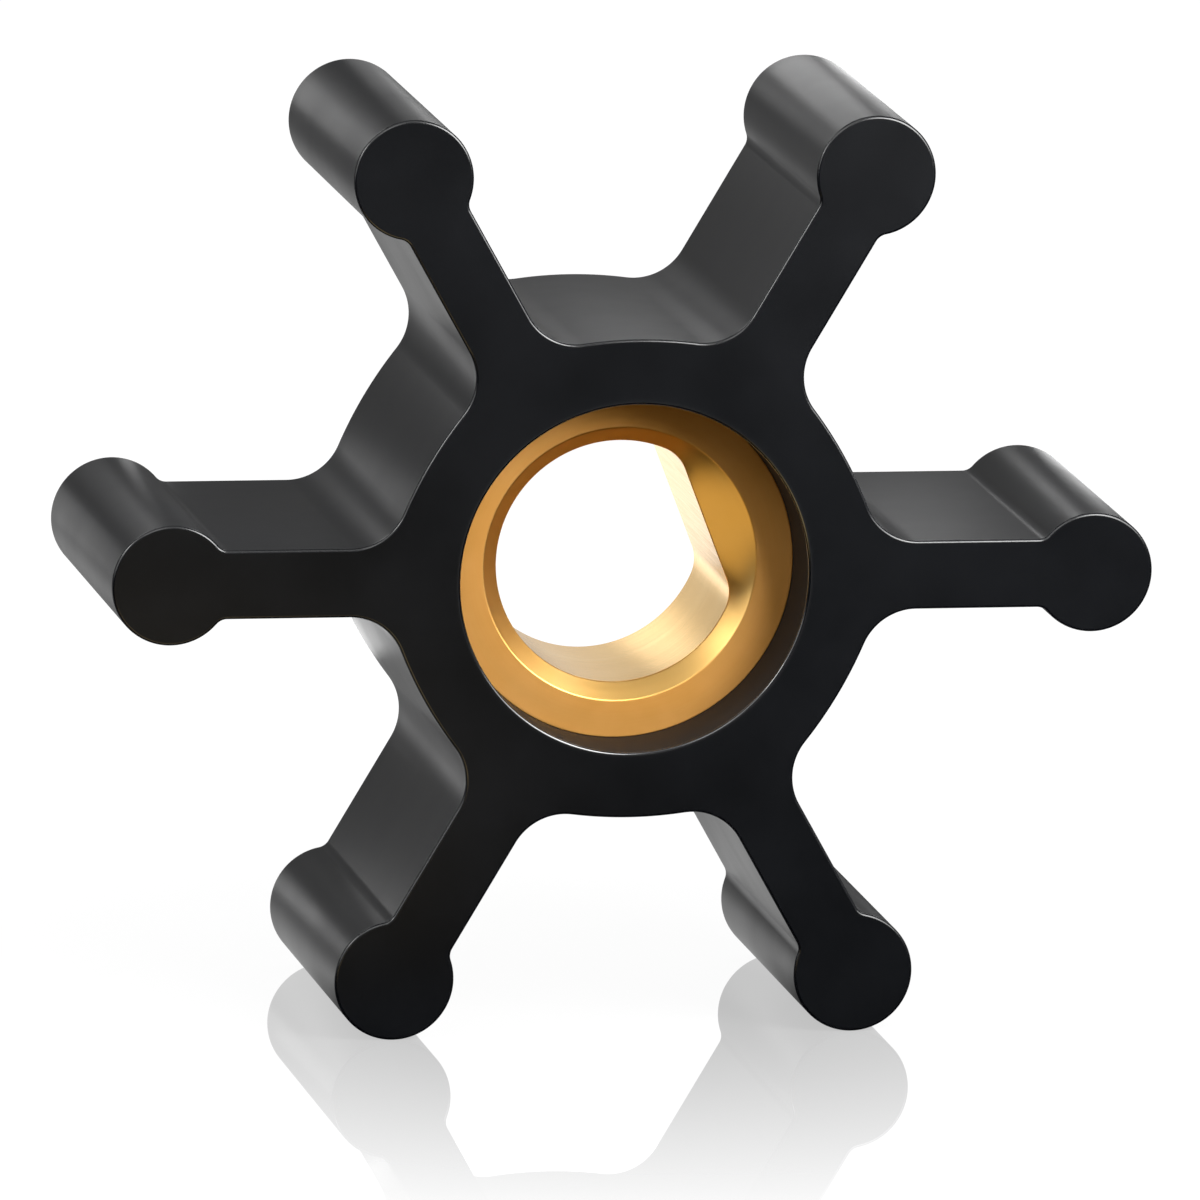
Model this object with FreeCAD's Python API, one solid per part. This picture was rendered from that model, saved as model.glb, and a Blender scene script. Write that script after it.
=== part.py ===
import FreeCAD, Part
import math
import os

# Flexible pump impeller: a rubber hub with straight blades moulded in one piece
# round a brass insert with a D-shaped shaft bore.
#
# Millimetres. The impeller stands on two blade tips with its shaft axis along Y
# and +Z up. The origin is on the shaft axis, halfway between the two side faces.
# The front face looks towards -Y. Angles turn from +X towards +Z, anticlockwise
# as seen from the front. Pieces are drawn in the XZ plane and run along Y.

# Rubber body
tip_diameter = 41.0
body_width = 13.75
blade_count = 6
first_blade_angle = 0.0
web_thickness = 2.7
bulb_radius = 2.35
neck_fillet = 0.55
root_fillet = 2.2
hub_wall = 2.57
hub_crown_radius = 16.5
edge_round = 0.12

# Brass insert
insert_wall = 2.08
insert_recess = 2.9
bond_gap = 0.0

# Shaft bore: a round hole with one flat, which the flat on the shaft drives
shaft_diameter = 9.5
shaft_flat_distance = 3.75
shaft_clearance = 0.02
flat_angle = 22.0
bore_corner_fillet = 1.5
lead_in_width = 0.63
lead_in_depth = 0.65

# How far an edge may lie from a plane and still count as on it
on_plane = 1e-6

half_pitch = 180.0 / blade_count
half_web = web_thickness / 2
half_width = body_width / 2
insert_length = body_width - 2 * insert_recess
bore_radius = shaft_diameter / 2 + shaft_clearance
flat_distance = shaft_flat_distance + shaft_clearance
lead_in_radius = bore_radius + lead_in_width
insert_radius = bore_radius + insert_wall
hub_bore_radius = insert_radius + bond_gap
hub_gap_radius = hub_bore_radius + hub_wall
shaft_axis = (0.0, 0.0)


def turned(along, across, angle, y):
    """A point given along and across a radial direction, turned to its angle about Y."""
    turn = math.radians(angle)
    x = along * math.cos(turn) - across * math.sin(turn)
    z = along * math.sin(turn) + across * math.cos(turn)
    return FreeCAD.Vector(x, y, z)


def line(start, end):
    return Part.LineSegment(start, end).toShape()


def arc(start, middle, end):
    return Part.Arc(start, middle, end).toShape()


def towards(centre, target, distance):
    """The point at a distance from the centre, on the way to the target (both u, v)."""
    length = math.hypot(target[0] - centre[0], target[1] - centre[1])
    u = centre[0] + (target[0] - centre[0]) * distance / length
    v = centre[1] + (target[1] - centre[1]) * distance / length
    return (u, v)


def halfway(start, end):
    return ((start[0] + end[0]) / 2, (start[1] + end[1]) / 2)


def blade_side():
    """Points of one side of a blade and of half the hub crown beside it.

    u runs outwards along the blade and v across it. Fillets touch both of the
    lines that they join: the neck fillet the flank and the bulb, the root fillet
    the flank and the hub crown.
    """
    bulb_centre = (tip_diameter / 2 - bulb_radius, 0.0)
    neck_v = half_web + neck_fillet
    neck_reach = math.sqrt((bulb_radius + neck_fillet) ** 2 - neck_v ** 2)
    neck_centre = (bulb_centre[0] - neck_reach, neck_v)
    neck_at_bulb = towards(bulb_centre, neck_centre, bulb_radius)
    neck_at_flank = (neck_centre[0], half_web)

    crown_offset = hub_gap_radius - hub_crown_radius
    crown_turn = math.radians(half_pitch)
    crown_centre = (crown_offset * math.cos(crown_turn), crown_offset * math.sin(crown_turn))
    root_v = half_web + root_fillet
    root_drop = root_v - crown_centre[1]
    root_reach = math.sqrt((hub_crown_radius + root_fillet) ** 2 - root_drop ** 2)
    root_centre = (crown_centre[0] + root_reach, root_v)
    root_at_flank = (root_centre[0], half_web)
    root_at_crown = towards(crown_centre, root_centre, hub_crown_radius)

    return {
        "tip": (tip_diameter / 2, 0.0),
        "neck_at_bulb": neck_at_bulb,
        "neck_middle": towards(neck_centre, halfway(neck_at_bulb, neck_at_flank), neck_fillet),
        "neck_at_flank": neck_at_flank,
        "root_at_flank": root_at_flank,
        "root_middle": towards(root_centre, halfway(root_at_flank, root_at_crown), root_fillet),
        "root_at_crown": root_at_crown,
    }


def blade_edges(side, angle, y):
    """One blade and the hub crown after it, as edges in anticlockwise order."""

    def near(name):
        return turned(side[name][0], -side[name][1], angle, y)

    def far(name):
        return turned(side[name][0], side[name][1], angle, y)

    next_angle = angle + 2 * half_pitch
    next_root = turned(side["root_at_crown"][0], -side["root_at_crown"][1], next_angle, y)
    crown_middle = turned(hub_gap_radius, 0.0, angle + half_pitch, y)
    return [
        arc(near("root_at_crown"), near("root_middle"), near("root_at_flank")),
        line(near("root_at_flank"), near("neck_at_flank")),
        arc(near("neck_at_flank"), near("neck_middle"), near("neck_at_bulb")),
        arc(near("neck_at_bulb"), near("tip"), far("neck_at_bulb")),
        arc(far("neck_at_bulb"), far("neck_middle"), far("neck_at_flank")),
        line(far("neck_at_flank"), far("root_at_flank")),
        arc(far("root_at_flank"), far("root_middle"), far("root_at_crown")),
        arc(far("root_at_crown"), crown_middle, next_root),
    ]


def cylinder(radius, length):
    """A cylinder about the shaft axis, centred on the origin."""
    base = FreeCAD.Vector(0, -length / 2, 0)
    return Part.makeCylinder(radius, length, base, FreeCAD.Vector(0, 1, 0))


def face_edges(solid, distance):
    """The edges that lie on the solid's two end faces, at that distance from the middle."""
    edges = []
    for edge in solid.Edges:
        box = edge.BoundBox
        if box.YLength < on_plane and abs(abs(box.YMin) - distance) < on_plane:
            edges.append(edge)
    return edges


def rubber_impeller():
    side = blade_side()
    edges = []
    for index in range(blade_count):
        angle = first_blade_angle + index * 2 * half_pitch
        edges += blade_edges(side, angle, -half_width)
    outline = Part.Face(Part.Wire(edges))
    body = outline.extrude(FreeCAD.Vector(0, body_width, 0))
    body = body.cut(cylinder(hub_bore_radius, body_width))
    return body.makeFillet(edge_round, face_edges(body, half_width))


def bore_corner():
    """Three points of the arc that rounds one corner of the D: at the flat, halfway, at
    the round side. u runs from the shaft axis towards the flat and v along it."""
    centre_u = flat_distance - bore_corner_fillet
    centre_v = math.sqrt((bore_radius - bore_corner_fillet) ** 2 - centre_u ** 2)
    at_flat = (flat_distance, centre_v)
    at_round = towards(shaft_axis, (centre_u, centre_v), bore_radius)
    middle = towards((centre_u, centre_v), halfway(at_flat, at_round), bore_corner_fillet)
    return [at_flat, middle, at_round]


def bore_wire(corner, round_radius, flat_side, y):
    """A closed wire in four edges: the round side, a corner, the flat side, a corner."""
    high = [turned(u, v, flat_angle, y) for u, v in corner]
    low = [turned(u, -v, flat_angle, y) for u, v in corner]
    opposite = turned(-round_radius, 0.0, flat_angle, y)
    return Part.Wire([
        arc(high[2], opposite, low[2]),
        arc(low[2], low[1], low[0]),
        flat_side(low[0], high[0]),
        arc(high[0], high[1], high[2]),
    ])


def bore_section(y):
    """The D of the bore."""
    return bore_wire(bore_corner(), bore_radius, line, y)


def lead_in_circle(y):
    """The round mouth of the bore, split in line with the ends of the D's four edges."""

    def over_flat(start, end):
        return arc(start, turned(lead_in_radius, 0.0, flat_angle, y), end)

    corner = [towards(shaft_axis, point, lead_in_radius) for point in bore_corner()]
    return bore_wire(corner, lead_in_radius, over_flat, y)


def lead_in(end):
    """The sloping mouth at one end (-1 front, 1 back), from the circle down to the D."""
    mouth = end * insert_length / 2
    foot = mouth - end * lead_in_depth
    return Part.makeLoft([lead_in_circle(mouth), bore_section(foot)], True, True)


def brass_insert():
    ring = cylinder(insert_radius, insert_length)
    bore = Part.Face(bore_section(-half_width)).extrude(FreeCAD.Vector(0, body_width, 0))
    return ring.cut([bore, lead_in(-1), lead_in(1)])


def main():
    os.makedirs("parts", exist_ok=True)
    pieces = {
        "rubber_impeller": rubber_impeller(),
        "brass_insert": brass_insert(),
    }
    for name, shape in pieces.items():
        shape.exportStep("parts/" + name + ".step")
        box = shape.BoundBox
        print(name, shape.isValid(), len(shape.Solids), "solid", round(shape.Volume, 2), "mm3",
              round(box.XLength, 3), round(box.YLength, 3), round(box.ZLength, 3))


main()
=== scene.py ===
import math
import bpy
from mathutils import Matrix, Vector
from mathutils.geometry import delaunay_2d_cdt


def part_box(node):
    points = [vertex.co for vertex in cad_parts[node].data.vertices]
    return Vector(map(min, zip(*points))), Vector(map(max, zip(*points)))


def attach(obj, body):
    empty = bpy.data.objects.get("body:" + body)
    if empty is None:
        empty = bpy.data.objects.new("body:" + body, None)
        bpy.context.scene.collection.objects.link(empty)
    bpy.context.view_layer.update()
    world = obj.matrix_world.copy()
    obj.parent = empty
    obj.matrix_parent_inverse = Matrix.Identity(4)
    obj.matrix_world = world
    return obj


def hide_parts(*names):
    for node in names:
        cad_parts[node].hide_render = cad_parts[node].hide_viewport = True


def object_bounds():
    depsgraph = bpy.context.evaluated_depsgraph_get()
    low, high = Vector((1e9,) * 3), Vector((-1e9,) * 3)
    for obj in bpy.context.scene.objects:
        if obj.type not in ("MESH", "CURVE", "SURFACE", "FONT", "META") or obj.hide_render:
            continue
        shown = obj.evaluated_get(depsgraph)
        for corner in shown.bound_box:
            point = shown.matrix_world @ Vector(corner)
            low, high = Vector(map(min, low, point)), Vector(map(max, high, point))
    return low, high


# Flexible pump impeller: black moulded rubber round a turned brass insert. It stands on
# two blade tips on a white glossy floor. Metres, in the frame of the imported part: the
# shaft axis runs along Y, the front face looks towards -Y, and +Z is up. Angles round
# the shaft axis turn from +X towards +Z.

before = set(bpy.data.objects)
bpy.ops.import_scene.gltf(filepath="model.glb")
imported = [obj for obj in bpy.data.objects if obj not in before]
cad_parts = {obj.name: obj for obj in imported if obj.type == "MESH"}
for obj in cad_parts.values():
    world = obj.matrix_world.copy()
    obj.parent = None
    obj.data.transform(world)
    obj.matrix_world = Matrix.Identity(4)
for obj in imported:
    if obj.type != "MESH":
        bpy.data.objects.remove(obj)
cad_low, cad_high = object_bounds()
insert_low, insert_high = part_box("brass_insert")
MM = 0.001
FULL_TURN = 2 * math.pi
HALF_TURN = math.pi
QUARTER_TURN = math.pi / 2

# Rubber body, the same sizes as its solid
TIP_RADIUS = (cad_high.x - cad_low.x) / 2
HALF_WIDTH = (cad_high.y - cad_low.y) / 2
BLADE_COUNT = 6
HALF_WEB = 1.35 * MM
BULB_RADIUS = 2.35 * MM
NECK_FILLET = 0.55 * MM
ROOT_FILLET = 2.2 * MM
HUB_WALL = 2.57 * MM
HUB_CROWN_RADIUS = 16.5 * MM
EDGE_ROUND = 0.12 * MM

# Brass insert and its D-shaped bore, the same sizes as their solid
INSERT_RADIUS = 6.85 * MM
HALF_INSERT = (insert_high.y - insert_low.y) / 2
BORE_RADIUS = 4.77 * MM
FLAT_DISTANCE = 3.77 * MM
FLAT_ANGLE = math.radians(22.0)
BORE_CORNER_FILLET = 1.5 * MM
LEAD_IN_RADIUS = BORE_RADIUS + 0.63 * MM
LEAD_IN_DEPTH = 0.65 * MM
LEAD_IN_FOOT = HALF_INSERT - LEAD_IN_DEPTH
EDGE_BREAK = 0.05 * MM

# Fineness of the meshes: points along each part of an outline, and steps over a section
HALF_CROWN_POINTS = 10
ROOT_POINTS = 24
WEB_POINTS = 8
NECK_POINTS = 8
BULB_POINTS = 72
HUB_HOLE_POINTS = 240
BORE_ROUND_POINTS = 216
BORE_CORNER_POINTS = 24
FLAT_POINTS = 40
RIM_STEPS = 6
WALL_BANDS = 6
OUTER_EDGE_STEPS = 3
BORE_EDGE_STEPS = 4
MERGE_DISTANCE = 1e-9

# How much smoother the rounded rims are than the faces and walls, from 0 to 1
BLADE_RIM_SMOOTHNESS = 0.5
HUB_RIM_SMOOTHNESS = 1.0

# Camera: the photograph's viewing angle
PHOTO_PIXELS = 1200
SENSOR_WIDTH_MM = 36.0
VIEW_AZIMUTH = math.radians(-11.8788)
VIEW_ELEVATION = math.radians(11.4055)
VIEW_ROLL = math.radians(1.5513)
VIEW_DISTANCE = 0.70978
PIXELS_PER_METRE = 25679.3
ORIGIN_PIXEL = (599.5, 543.9)
CLIP_START = 0.01
CLIP_END = 20.0

# Floor
FLOOR_Z = cad_low.z
FLOOR_HALF_SIZE = 1.5
GLOW_REACH = 0.2
# A warm glow painted on the floor on the left, which is no lamp: brass and rubber mirror it
PAINTED_WARM_GLOW_CENTRE = (-0.017, -0.041, 0.0)
PAINTED_WARM_GLOW_COLOUR = (1.0, 0.76, 0.36)
PAINTED_WARM_GLOW_BRIGHTNESS = 2.0
PAINTED_WARM_GLOW_CORE = 0.006
PAINTED_WARM_GLOW_REACH = 0.020

# Room: how bright the rubber and the brass see it, and how much more high up in front
ROOM_BRIGHTNESS = 0.19
HIGH_FRONT_BRIGHTNESS = 0.2

# Lamps that face the origin: name, place, width, height and brightness (1 is plain white)
STUDIO_BOXES = (
    ("KeyBox", (0.0709, -0.0760, 0.0600), 0.090, 0.085, 5.2),
    ("NearKeyBox", (0.031, -0.048, 0.040), 0.035, 0.035, 7.0),
    ("HighLeftBox", (-0.031, -0.086, 0.077), 0.045, 0.045, 2.6),
    ("LeftBox", (-0.0985, -0.0481, 0.0488), 0.058, 0.090, 1.5),
    ("LeadInBox", (-0.097, -0.034, 0.061), 0.030, 0.030, 8.0),
    ("UpperLeftBox", (-0.067, -0.039, 0.092), 0.035, 0.035, 1.2),
    ("TopBox", (-0.008, -0.034, 0.114), 0.075, 0.050, 0.8),
    ("BackLeftBox", (-0.053, 0.092, 0.075), 0.040, 0.040, 3.0),
    ("BackRightBox", (0.053, 0.092, 0.075), 0.040, 0.040, 1.0),
)

# Small lamps close behind, which face the origin, for the bands of light on blades and hub
BAND_BOXES = (
    ("TopBandBox", (0.0090, 0.030, 0.0265), 0.014, 0.005, 4.0),
    ("MiddleBandBox", (-0.0015, 0.031, 0.0220), 0.007, 0.007, 0.8),
    ("TopSideBandBox", (0.0188, 0.030, 0.0174), 0.005, 0.007, 3.6),
    ("RightBandBox", (0.0282, 0.030, 0.0008), 0.005, 0.008, 3.2),
    ("TopLeftBandBox", (-0.0190, 0.030, 0.0205), 0.005, 0.010, 2.3),
    ("LeftBandBox", (-0.0285, 0.030, 0.0000), 0.004, 0.009, 1.6),
    ("HubBandBox", (-0.0149, 0.018, 0.0026), 0.002, 0.003, 2.2),
    ("LowBandBox", (-0.0166, 0.018, -0.0130), 0.003, 0.005, 2.2),
    ("CrownBandBox", (-0.0085, 0.012, -0.0068), 0.003, 0.002, 2.6),
)

# Small lamps close behind, which shine straight along the bore
BORE_BOXES = (
    ("BoreBox", (0.0013, 0.020, -0.0015), 0.012, 0.012, 0.56),
    ("BoreBandBox", (0.0005, 0.019, 0.0014), 0.003, 0.003, 1.0),
)


# Outlines: lists of (point, outward direction), anticlockwise, as flat (u, v) pairs

def polar(radius, angle):
    return (radius * math.cos(angle), radius * math.sin(angle))


def added(first, second, share=1.0):
    return (first[0] + second[0] * share, first[1] + second[1] * share)


def turned(point, angle):
    cosine = math.cos(angle)
    sine = math.sin(angle)
    return (point[0] * cosine - point[1] * sine, point[0] * sine + point[1] * cosine)


def turned_outline(outline, angle):
    return [(turned(point, angle), turned(outward, angle)) for point, outward in outline]


def arc(centre, radius, start, end, count, hollow=False):
    """Points of an arc, from its start angle up to just before its end angle.

    On a hollow arc, such as a fillet or the wall of a hole, the outward direction
    points to the arc's centre.
    """
    sign = -1.0 if hollow else 1.0
    points = []
    for index in range(count):
        along = polar(1.0, start + (end - start) * index / count)
        points.append((added(centre, along, radius), (along[0] * sign, along[1] * sign)))
    return points


def straight(start, end, count, hollow=False):
    """Points of a straight run, from its start up to just before its end."""
    sign = -1.0 if hollow else 1.0
    run = (end[0] - start[0], end[1] - start[1])
    length = math.hypot(*run)
    outward = (run[1] / length * sign, -run[0] / length * sign)
    return [(added(start, run, index / count), outward) for index in range(count)]


def blade_outline():
    """One blade along +u, with half a hub crown before it and half of one after it."""
    half_pitch = HALF_TURN / BLADE_COUNT
    bulb_centre = (TIP_RADIUS - BULB_RADIUS, 0.0)
    neck_v = HALF_WEB + NECK_FILLET
    neck_u = bulb_centre[0] - math.sqrt((BULB_RADIUS + NECK_FILLET) ** 2 - neck_v ** 2)
    neck_turn = math.atan2(neck_v, neck_u - bulb_centre[0])

    crown_centre = polar(INSERT_RADIUS + HUB_WALL - HUB_CROWN_RADIUS, half_pitch)
    low_crown = turned(crown_centre, -2 * half_pitch)
    root_v = HALF_WEB + ROOT_FILLET
    root_drop = root_v - crown_centre[1]
    root_reach = math.sqrt((HUB_CROWN_RADIUS + ROOT_FILLET) ** 2 - root_drop ** 2)
    root_u = crown_centre[0] + root_reach
    crown_end = math.atan2(root_drop, root_reach)
    low_root = (root_u, -root_v)
    low_neck = (neck_u, -neck_v)
    high_neck = (neck_u, neck_v)
    high_root = (root_u, root_v)
    return (
        arc(low_crown, HUB_CROWN_RADIUS, -half_pitch, -crown_end, HALF_CROWN_POINTS)
        + arc(low_root, ROOT_FILLET, HALF_TURN - crown_end, QUARTER_TURN, ROOT_POINTS, True)
        + straight((root_u, -HALF_WEB), (neck_u, -HALF_WEB), WEB_POINTS)
        + arc(low_neck, NECK_FILLET, QUARTER_TURN, HALF_TURN - neck_turn, NECK_POINTS, True)
        + arc(bulb_centre, BULB_RADIUS, -neck_turn, neck_turn, BULB_POINTS)
        + arc(high_neck, NECK_FILLET, neck_turn - HALF_TURN, -QUARTER_TURN, NECK_POINTS, True)
        + straight((neck_u, HALF_WEB), (root_u, HALF_WEB), WEB_POINTS)
        + arc(high_root, ROOT_FILLET, -QUARTER_TURN, crown_end - HALF_TURN, ROOT_POINTS, True)
        + arc(crown_centre, HUB_CROWN_RADIUS, crown_end, half_pitch, HALF_CROWN_POINTS)
    )


def rubber_outline():
    outline = []
    for index in range(BLADE_COUNT):
        outline += turned_outline(blade_outline(), FULL_TURN * index / BLADE_COUNT)
    return outline


def bore_outlines():
    """The D of the bore, the lead-in's round mouth and the insert's outer edge.

    All three have as many points, and the points of the flat come last.
    """
    axis = (0.0, 0.0)
    centre_u = FLAT_DISTANCE - BORE_CORNER_FILLET
    centre_v = math.sqrt((BORE_RADIUS - BORE_CORNER_FILLET) ** 2 - centre_u ** 2)
    corner = math.atan2(centre_v, centre_u)
    flat_end = math.atan2(centre_v, FLAT_DISTANCE)
    high, low = (centre_u, centre_v), (centre_u, -centre_v)
    flat_low, flat_high = (FLAT_DISTANCE, -centre_v), (FLAT_DISTANCE, centre_v)
    round_end = FULL_TURN - corner
    bore = (
        arc(high, BORE_CORNER_FILLET, 0.0, corner, BORE_CORNER_POINTS, True)
        + arc(axis, BORE_RADIUS, corner, round_end, BORE_ROUND_POINTS, True)
        + arc(low, BORE_CORNER_FILLET, -corner, 0.0, BORE_CORNER_POINTS, True)
        + straight(flat_low, flat_high, FLAT_POINTS, True)
    )

    def circle(radius, hollow):
        return (
            arc(axis, radius, flat_end, corner, BORE_CORNER_POINTS, hollow)
            + arc(axis, radius, corner, round_end, BORE_ROUND_POINTS, hollow)
            + arc(axis, radius, -corner, -flat_end, BORE_CORNER_POINTS, hollow)
            + arc(axis, radius, -flat_end, flat_end, FLAT_POINTS, hollow)
        )

    outlines = [bore, circle(LEAD_IN_RADIUS, True), circle(INSERT_RADIUS, False)]
    return [turned_outline(outline, FLAT_ANGLE) for outline in outlines]


# Meshes: rings of points in step round the shaft axis, joined by faces

def ring(outline, y, inset=0.0, lean=0.0):
    """Points and normals of an outline at a depth y, moved against its outward direction.

    The normal leans from the outward direction (0) to the shaft's direction (-1 or 1).
    """
    level = math.sqrt(max(0.0, 1.0 - lean * lean))
    points = []
    for point, outward in outline:
        u, v = added(point, outward, -inset)
        normal = Vector((outward[0] * level, lean, outward[1] * level))
        points.append((Vector((u, y, v)), normal))
    return points


def wall_rings(outline):
    """Rings over a wall with rounded edges, from the front face's rim to the back face's."""
    rims = []
    for index in range(RIM_STEPS + 1):
        turn = QUARTER_TURN * index / RIM_STEPS
        depth = HALF_WIDTH - EDGE_ROUND * (1 - math.cos(turn))
        rims.append((depth, EDGE_ROUND * (1 - math.sin(turn)), math.cos(turn)))
    rings = [ring(outline, -depth, inset, -lean) for depth, inset, lean in rims]
    for index in range(1, WALL_BANDS):
        y = (2 * index / WALL_BANDS - 1) * (HALF_WIDTH - EDGE_ROUND)
        rings.append(ring(outline, y))
    return rings + [ring(outline, *rim) for rim in reversed(rims)]


class MeshBuilder:
    """Gathers vertices with their normals and faces for one mesh object."""

    def __init__(self):
        self.points = []
        self.normals = []
        self.faces = []

    def add_rings(self, rings, flipped, closed=False):
        """Joins rings of equally many points with quads, and returns their vertices."""
        indices = []
        for points in rings:
            start = len(self.points)
            self.points += [point for point, normal in points]
            self.normals += [normal for point, normal in points]
            indices.append(list(range(start, len(self.points))))
        pairs = list(zip(indices, indices[1:]))
        if closed:
            pairs.append((indices[-1], indices[0]))
        for first, second in pairs:
            count = len(first)
            for place in range(count):
                after = (place + 1) % count
                face = (first[place], first[after], second[after], second[place])
                self.faces.append(face[::-1] if flipped else face)
        return indices

    def add_flat_face(self, outer, inner, looks_forward):
        """Triangles between an outer loop and a hole's loop of vertices."""
        loop = list(outer) + list(inner)
        flat = [Vector((self.points[i].x, self.points[i].z)) for i in loop]
        outer_count, inner_count = len(outer), len(inner)
        edges = [(i, (i + 1) % outer_count) for i in range(outer_count)]
        for i in range(inner_count):
            edges.append((outer_count + i, outer_count + (i + 1) % inner_count))
        found = delaunay_2d_cdt(flat, edges, [], 1, MERGE_DISTANCE)
        triangles, came_from = found[2], found[3]
        for triangle in triangles:
            corners = [came_from[i][0] for i in triangle]
            in_the_hole = min(corners) >= outer_count
            if in_the_hole:
                continue
            a, b, c = (flat[i] for i in corners)
            turns_left = (b - a).cross(c - a) > 0
            ordered = corners if turns_left == looks_forward else corners[::-1]
            self.faces.append(tuple(loop[i] for i in ordered))

    def make(self, name, material):
        mesh = bpy.data.meshes.new(name)
        mesh.from_pydata(self.points, [], self.faces)
        mesh.materials.append(material)
        mesh.shade_smooth()
        mesh.normals_split_custom_set_from_vertices(self.normals)
        piece = bpy.data.objects.new(name, mesh)
        bpy.context.scene.collection.objects.link(piece)
        return piece


def rubber_body(material):
    builder = MeshBuilder()
    hole = arc((0.0, 0.0), INSERT_RADIUS, 0.0, FULL_TURN, HUB_HOLE_POINTS, True)
    outer = builder.add_rings(wall_rings(rubber_outline()), True)
    inner = builder.add_rings(wall_rings(hole), False)
    builder.add_flat_face(outer[0], inner[0], True)
    builder.add_flat_face(outer[-1], inner[-1], False)
    piece = builder.make("RubberBody", material)

    # The rounded rims are smoother than the faces and walls, the hub's rims most of all
    rim = piece.data.attributes.new("rim", "FLOAT", "POINT")
    for indices, smoothness in ((outer, BLADE_RIM_SMOOTHNESS), (inner, HUB_RIM_SMOOTHNESS)):
        for step in range(1, RIM_STEPS):
            for vertex in indices[step] + indices[-1 - step]:
                rim.data[vertex].value = smoothness
    return piece


def broken_edge(before, edge, after, normal_before, normal_after, steps):
    """Points that round an edge between two straight sides, with their normals."""
    start = edge + (before - edge).normalized() * EDGE_BREAK
    end = edge + (after - edge).normalized() * EDGE_BREAK
    points = []
    for index in range(steps + 1):
        share = index / steps
        rest = 1.0 - share
        point = start * rest * rest + edge * 2 * rest * share + end * share * share
        points.append((point, (normal_before * rest + normal_after * share).normalized()))
    return points


def insert_profile(outlines, place):
    """Front half of the insert's section at one place round it: points with normals."""
    bore, mouth, outer = (outline[place] for outline in outlines)

    def at(outline_point, y):
        u, v = outline_point[0]
        return Vector((u, y, v))

    def level_normal(outline_point):
        u, v = outline_point[1]
        return Vector((u, 0.0, v))

    outer_edge = at(outer, -HALF_INSERT)
    mouth_edge = at(mouth, -HALF_INSERT)
    foot_edge = at(bore, -LEAD_IN_FOOT)

    def sloping_normal(outline_point):
        """The lead-in's normal, which leans towards the front."""
        u, v = outline_point[1]
        normal = Vector((v, 0.0, -u)).cross(foot_edge - mouth_edge).normalized()
        if normal.y > 0:
            normal.negate()
        return normal

    forward = Vector((0.0, -1.0, 0.0))
    outward = level_normal(outer)
    inward = level_normal(bore)
    mouth_normal = sloping_normal(mouth)
    foot_normal = sloping_normal(bore)
    middle_out = at(outer, 0.0)
    middle_in = at(bore, 0.0)
    return (
        [(middle_out, outward)]
        + broken_edge(middle_out, outer_edge, mouth_edge, outward, forward, OUTER_EDGE_STEPS)
        + broken_edge(outer_edge, mouth_edge, foot_edge, forward, mouth_normal, BORE_EDGE_STEPS)
        + broken_edge(mouth_edge, foot_edge, middle_in, foot_normal, inward, BORE_EDGE_STEPS)
        + [(middle_in, inward)]
    )


def brass_insert(material):
    outlines = bore_outlines()
    to_the_back = Vector((1.0, -1.0, 1.0))
    profiles = []
    for place in range(len(outlines[0])):
        front = insert_profile(outlines, place)
        back = [(point * to_the_back, normal * to_the_back) for point, normal in front[-2:0:-1]]
        profiles.append(front + back)
    rings = list(zip(*profiles))
    builder = MeshBuilder()
    indices = builder.add_rings(rings, False, True)
    piece = builder.make("BrassInsert", material)

    # The bore's flat was broached along the shaft axis, the rest was turned
    broached = piece.data.attributes.new("broached", "FLOAT", "POINT")
    for loop in indices:
        for vertex in loop[-FLAT_POINTS:]:
            point = builder.points[vertex]
            on_the_bore = math.hypot(point.x, point.z) < BORE_RADIUS + EDGE_BREAK / 2
            broached.data[vertex].value = float(on_the_bore)
    return piece


# Materials

# Sockets of a Mix node for each kind of data: first input, second input, result
MIX_SOCKETS = {"VECTOR": (4, 5, 1), "RGBA": (6, 7, 2)}


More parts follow.
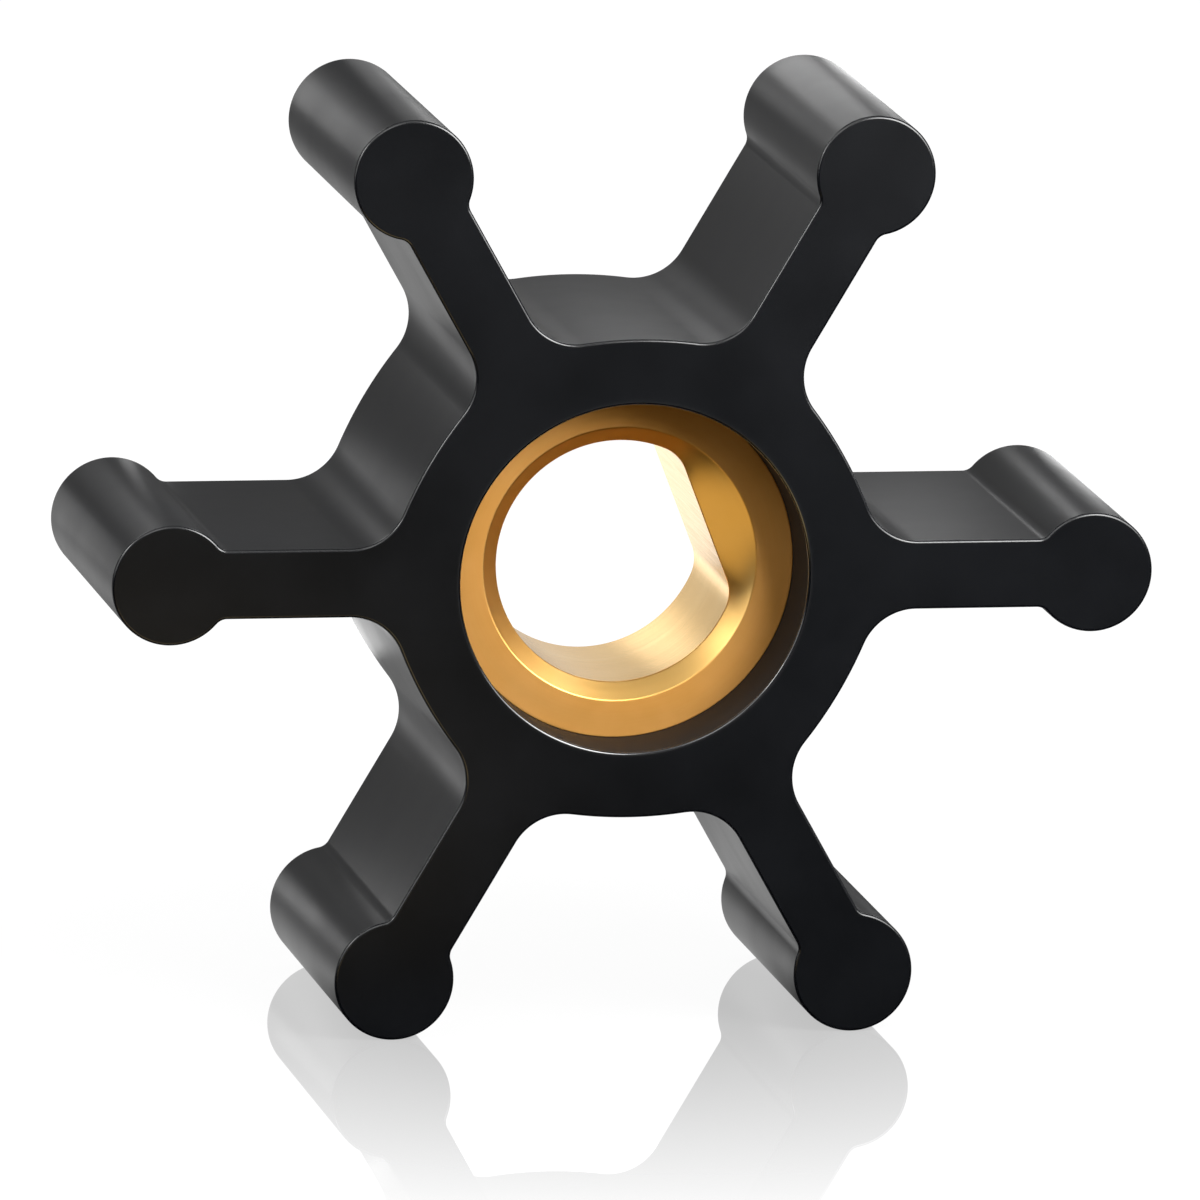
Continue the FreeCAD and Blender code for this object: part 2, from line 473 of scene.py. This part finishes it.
class Shading:
    """Adds and links the nodes of one material or world."""

    def __init__(self, tree):
        self.nodes = tree.nodes
        self.links = tree.links

    def node(self, kind, **settings):
        node = self.nodes.new(kind)
        for name, value in settings.items():
            setattr(node, name, value)
        return node

    def feed(self, socket, value):
        """Links another node's output to a socket, or sets a constant directly on it."""
        if isinstance(value, bpy.types.NodeSocket):
            self.links.new(value, socket)
        else:
            socket.default_value = value

    def place(self):
        return self.node("ShaderNodeTexCoord").outputs["Object"]

    def axes(self, vector):
        split = self.node("ShaderNodeSeparateXYZ")
        self.feed(split.inputs[0], vector)
        return split.outputs

    def vector(self, *parts):
        """A vector of up to three parts; the parts left out are 0."""
        node = self.node("ShaderNodeCombineXYZ")
        for socket, part in zip(node.inputs, parts):
            self.feed(socket, part)
        return node.outputs[0]

    def maths(self, operation, first, second=0.0):
        node = self.node("ShaderNodeMath", operation=operation)
        self.feed(node.inputs[0], first)
        self.feed(node.inputs[1], second)
        return node.outputs[0]

    def from_shaft(self, place):
        """Distance of each point from the shaft axis."""
        x, y, z = self.axes(place)
        square = self.maths("ADD", self.maths("MULTIPLY", x, x), self.maths("MULTIPLY", z, z))
        return self.maths("SQRT", square)

    def noise(self, vector, scale, detail):
        node = self.node("ShaderNodeTexNoise")
        self.feed(node.inputs["Vector"], vector)
        self.feed(node.inputs["Scale"], scale)
        self.feed(node.inputs["Detail"], detail)
        return node.outputs["Fac"]

    def mapped(self, value, low, high, to_low, to_high):
        """A value's range from low to high, mapped onto another; the ends hold beyond it."""
        node = self.node("ShaderNodeMapRange")
        self.feed(node.inputs["Value"], value)
        self.feed(node.inputs["From Min"], low)
        self.feed(node.inputs["From Max"], high)
        self.feed(node.inputs["To Min"], to_low)
        self.feed(node.inputs["To Max"], to_high)
        return node.outputs[0]

    def ramp(self, value, *stops):
        """A colour ramp; each stop is a position and a colour of three numbers."""
        node = self.node("ShaderNodeValToRGB")
        elements = node.color_ramp.elements
        while len(elements) < len(stops):
            elements.new(0.5)
        for element, (position, colour) in zip(elements, stops):
            element.position = position
            element.color = (*colour, 1.0)
        self.feed(node.inputs["Fac"], value)
        return node.outputs["Color"]

    def mixed(self, data_type, share, first, second):
        node = self.node("ShaderNodeMix", data_type=data_type)
        first_input, second_input, result = MIX_SOCKETS[data_type]
        self.feed(node.inputs["Factor"], share)
        self.feed(node.inputs[first_input], first)
        self.feed(node.inputs[second_input], second)
        return node.outputs[result]

    def attribute(self, name):
        return self.node("ShaderNodeAttribute", attribute_name=name).outputs["Fac"]

    def bump(self, height, distance, strength):
        node = self.node("ShaderNodeBump")
        self.feed(node.inputs["Height"], height)
        self.feed(node.inputs["Distance"], distance)
        self.feed(node.inputs["Strength"], strength)
        return node.outputs["Normal"]

    def ray_kinds(self, *names):
        """Outputs that are 1 for rays of each of these kinds, and 0 for the others."""
        path = self.node("ShaderNodeLightPath")
        return [path.outputs[name] for name in names]

    def surface(self, kind, colour, **settings):
        """A plain shader node of one colour, with its other inputs as given."""
        node = self.node(kind)
        self.feed(node.inputs["Color"], colour)
        for name, value in settings.items():
            self.feed(node.inputs[name], value)
        return node.outputs[0]

    def blended(self, share, first, second):
        node = self.node("ShaderNodeMixShader")
        for socket, value in zip(node.inputs, (share, first, second)):
            self.feed(socket, value)
        return node.outputs[0]

    def summed(self, first, second):
        node = self.node("ShaderNodeAddShader")
        self.feed(node.inputs[0], first)
        self.feed(node.inputs[1], second)
        return node.outputs[0]


def new_material(name):
    material = bpy.data.materials.new(name)
    material.use_nodes = True
    return material, Shading(material.node_tree), material.node_tree.nodes["Principled BSDF"]


def grey(level):
    return (level, level, level, 1.0)


def rubber_material():
    """Moulded black rubber: satin, with a fine grain and faint cloudy patches.

    It is dull inside the recess, and its rounded rims shine more than the rest.
    """
    material, shading, shader = new_material("MouldedRubber")
    place = shading.place()
    cloud = shading.noise(place, 260.0, 3.0)
    grain = shading.noise(place, 9000.0, 2.0)
    black = shading.ramp(
        cloud,
        (0.3, (0.0016, 0.0020, 0.0029)),
        (0.7, (0.0028, 0.0034, 0.0048)),
    )
    patchy = shading.mapped(cloud, 0.3, 0.7, 0.35, 0.39)
    recess_wall = INSERT_RADIUS + 0.02 * MM
    recess_edge = INSERT_RADIUS + 0.2 * MM
    recess = shading.mapped(shading.from_shaft(place), recess_wall, recess_edge, 0.4, 0.0)
    rim = shading.attribute("rim")
    smoother = shading.mapped(rim, 0.0, 1.0, 1.0, 0.2)
    rough = shading.maths("MULTIPLY", shading.maths("ADD", patchy, recess), smoother)
    shine = shading.mapped(rim, 0.0, 1.0, 0.30, 1.3)
    shading.feed(shader.inputs["Base Color"], black)
    shading.feed(shader.inputs["Roughness"], rough)
    shading.feed(shader.inputs["Specular IOR Level"], shine)
    shading.feed(shader.inputs["Normal"], shading.bump(grain, 0.004 * MM, 0.5))
    return material


def brass_material():
    """Turned brass: fine rings round the shaft axis, draw marks along the broached flat."""
    material, shading, shader = new_material("TurnedBrass")
    place = shading.place()
    radius = shading.from_shaft(place)
    x, y, z = shading.axes(place)
    angle = shading.maths("ARCTAN2", z, x)

    # Each pattern of marks is drawn out: a ring round the shaft axis, a draw mark along it
    round_the_shaft = shading.vector(radius, y, shading.maths("MULTIPLY", angle, 0.00006))
    across_flat = shading.maths("TANGENT", shading.maths("SUBTRACT", angle, FLAT_ANGLE))
    across_flat = shading.maths("MULTIPLY", across_flat, FLAT_DISTANCE)
    along_the_shaft = shading.vector(across_flat, shading.maths("MULTIPLY", y, 0.02))
    drawn_out = shading.mixed(
        "VECTOR", shading.attribute("broached"), round_the_shaft, along_the_shaft)
    marks = shading.noise(drawn_out, 11000.0, 3.0)
    stain = shading.noise(place, 420.0, 4.0)

    # The lead-in and bore get a paler brass than the faced ends: painted highlight, for the
    # creamy whiteness of their highlights
    faced_colour = shading.ramp(
        stain,
        (0.30, (0.87, 0.465, 0.120)),
        (0.55, (0.92, 0.505, 0.143)),
        (0.75, (0.95, 0.535, 0.165)),
    )
    painted_highlight_colour = shading.ramp(
        stain,
        (0.30, (0.92, 0.575, 0.175)),
        (0.55, (0.95, 0.605, 0.200)),
        (0.75, (0.97, 0.630, 0.225)),
    )
    is_faced = shading.mapped(radius, LEAD_IN_RADIUS - EDGE_BREAK, LEAD_IN_RADIUS, 0.0, 1.0)
    colour = shading.mixed("RGBA", is_faced, painted_highlight_colour, faced_colour)

    # The faced ends are coarser than the lead-in, and that is coarser than the reamed bore
    faced = shading.mapped(radius, LEAD_IN_RADIUS, LEAD_IN_RADIUS + EDGE_BREAK, 0.38, 0.63)
    depth = shading.maths("ABSOLUTE", y)
    reamed = shading.mapped(depth, LEAD_IN_FOOT - EDGE_BREAK, LEAD_IN_FOOT, -0.14, 0.0)
    uneven = shading.mapped(marks, 0.3, 0.7, -0.03, 0.03)
    rough = shading.maths("ADD", shading.maths("ADD", faced, reamed), uneven)
    shading.feed(shader.inputs["Base Color"], colour)
    shading.feed(shader.inputs["Metallic"], 1.0)
    shading.feed(shader.inputs["Roughness"], rough)
    shading.feed(shader.inputs["Normal"], shading.bump(marks, 0.0015 * MM, 0.35))
    return material


def floor_material():
    """White polished sheet. It keeps the object's shadow and mirror image close by.

    Rubber and brass see it glow bright behind the object but less so on the right, and
    dark in front of it, apart from one warm glow on the left. These glows are painted on the
    floor, which is no lamp.
    """
    material, shading, shader = new_material("WhiteFloor")
    shading.nodes.remove(shader)
    place = shading.place()
    x, y, z = shading.axes(place)
    length = shading.node("ShaderNodeVectorMath", operation="LENGTH")
    shading.feed(length.inputs[0], place)
    away = length.outputs["Value"]

    # What the camera sees: white, a faint shadow, and a mirror that fades with distance
    white_strength = shading.mapped(away, 0.015, 0.045, 0.93, 1.0)
    white = shading.surface("ShaderNodeEmission", grey(1.0), Strength=white_strength)
    lit = shading.summed(white, shading.surface("ShaderNodeBsdfDiffuse", grey(0.08)))
    mirror = shading.surface("ShaderNodeBsdfGlossy", grey(1.0), Roughness=0.0)
    mirror_share = shading.mapped(away, 0.008, 0.046, 0.46, 0.0)
    camera_look = shading.blended(mirror_share, lit, mirror)

    # What rubber and brass mirror: glows painted on the floor, which is no lamp
    behind = shading.mapped(y, -0.005, 0.005, 0.0, 1.0)
    not_right = shading.mapped(x, 0.010, 0.026, 1.0, 0.2)
    near_or_far = shading.ramp(
        shading.mapped(away, 0.0, GLOW_REACH, 0.0, 1.0),
        (0.08, (1.00, 1.00, 1.00)),
        (0.15, (0.45, 0.45, 0.45)),
        (0.24, (0.35, 0.35, 0.35)),
        (0.32, (0.95, 0.95, 0.95)),
        (0.80, (0.30, 0.30, 0.30)),
    )
    back_strength = shading.maths("MULTIPLY", behind, not_right)
    back_glow = shading.surface("ShaderNodeEmission", near_or_far, Strength=back_strength)
    from_painted_glow = shading.node("ShaderNodeVectorMath", operation="DISTANCE")
    shading.feed(from_painted_glow.inputs[0], place)
    shading.feed(from_painted_glow.inputs[1], PAINTED_WARM_GLOW_CENTRE)
    painted_glow_strength = shading.mapped(
        from_painted_glow.outputs["Value"],
        PAINTED_WARM_GLOW_CORE, PAINTED_WARM_GLOW_REACH, PAINTED_WARM_GLOW_BRIGHTNESS, 0.0)
    painted_warm_glow = shading.surface(
        "ShaderNodeEmission", (*PAINTED_WARM_GLOW_COLOUR, 1.0), Strength=painted_glow_strength)

    seen, reflected = shading.ray_kinds("Is Camera Ray", "Is Glossy Ray")
    matte = shading.surface("ShaderNodeBsdfDiffuse", grey(0.86))
    other_look = shading.blended(reflected, matte, shading.summed(back_glow, painted_warm_glow))
    output = shading.nodes["Material Output"]
    shading.feed(output.inputs["Surface"], shading.blended(seen, other_look, camera_look))
    return material


# Camera, lights and surroundings

def camera_axes():
    """Right, up and towards-the-camera directions of the photograph's view."""
    towards = Vector((
        math.sin(VIEW_AZIMUTH) * math.cos(VIEW_ELEVATION),
        -math.cos(VIEW_AZIMUTH) * math.cos(VIEW_ELEVATION),
        math.sin(VIEW_ELEVATION),
    ))
    right = Vector((0.0, 0.0, 1.0)).cross(towards).normalized()
    up = towards.cross(right)
    cosine = math.cos(VIEW_ROLL)
    sine = math.sin(VIEW_ROLL)
    return right * cosine + up * sine, up * cosine - right * sine, towards


def add_camera():
    right, up, towards = camera_axes()
    data = bpy.data.cameras.new("PhotoCamera")
    data.sensor_width = SENSOR_WIDTH_MM
    focal_pixels = PIXELS_PER_METRE * VIEW_DISTANCE
    data.lens = focal_pixels * SENSOR_WIDTH_MM / PHOTO_PIXELS
    data.shift_x = (PHOTO_PIXELS / 2 - ORIGIN_PIXEL[0]) / PHOTO_PIXELS
    data.shift_y = (ORIGIN_PIXEL[1] - PHOTO_PIXELS / 2) / PHOTO_PIXELS
    data.clip_start = CLIP_START
    data.clip_end = CLIP_END
    camera = bpy.data.objects.new("PhotoCamera", data)
    rotation = Matrix((right, up, towards)).transposed()
    camera.matrix_world = Matrix.Translation(towards * VIEW_DISTANCE) @ rotation.to_4x4()
    bpy.context.scene.collection.objects.link(camera)
    bpy.context.scene.camera = camera


def add_area_light(name, place, width, height, brightness, target=(0.0, 0.0, 0.0)):
    """A soft box that faces its target; a brightness of 1 looks plain white."""
    data = bpy.data.lights.new(name, "AREA")
    data.shape = "RECTANGLE"
    data.size = width
    data.size_y = height
    data.energy = brightness * math.pi * width * height
    light = bpy.data.objects.new(name, data)
    light.location = place
    away = Vector(place) - Vector(target)
    light.rotation_euler = away.to_track_quat("Z", "Y").to_euler()
    light.visible_camera = False
    bpy.context.scene.collection.objects.link(light)


def add_lights():
    for box in STUDIO_BOXES + BAND_BOXES:
        add_area_light(*box)
    for box in BORE_BOXES:
        x, y, z = box[1]
        add_area_light(*box, target=(x, 0.0, z))


def set_world():
    """White for the camera and for the polished floor; a dim room for the rest.

    The room is brighter high up in front of the object.
    """
    world = bpy.data.worlds.new("Studio")
    bpy.context.scene.world = world
    world.use_nodes = True
    shading = Shading(world.node_tree)
    background = shading.nodes["Background"]
    direction = shading.node("ShaderNodeTexCoord").outputs["Generated"]
    x, y, z = shading.axes(direction)
    in_front = shading.mapped(y, -0.3, 0.3, HIGH_FRONT_BRIGHTNESS, 0.0)
    high_up = shading.mapped(z, 0.2, 0.6, 0.0, 1.0)
    high_front = shading.maths("MULTIPLY", in_front, high_up)
    room = shading.maths("ADD", high_front, ROOM_BRIGHTNESS)
    seen, mirrored = shading.ray_kinds("Is Camera Ray", "Is Singular Ray")
    white = shading.maths("MAXIMUM", seen, mirrored)
    shading.feed(background.inputs["Color"], grey(1.0))
    shading.feed(background.inputs["Strength"], shading.maths("MAXIMUM", room, white))


def add_floor():
    half = FLOOR_HALF_SIZE
    mesh = bpy.data.meshes.new("Floor")
    corners = [(-half, -half), (half, -half), (half, half), (-half, half)]
    mesh.from_pydata([(x, y, 0.0) for x, y in corners], [], [(0, 1, 2, 3)])
    mesh.materials.append(floor_material())
    floor = bpy.data.objects.new("Floor", mesh)
    floor.location = (0.0, 0.0, FLOOR_Z)
    bpy.context.scene.collection.objects.link(floor)


def main():
    bpy.context.scene.view_settings.view_transform = "Standard"
    add_camera()
    set_world()
    add_floor()
    add_lights()

    rubber = rubber_body(rubber_material())
    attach(rubber, "root")
    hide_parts("rubber_impeller")

    brass = brass_insert(brass_material())
    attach(brass, "root")
    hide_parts("brass_insert")


main()
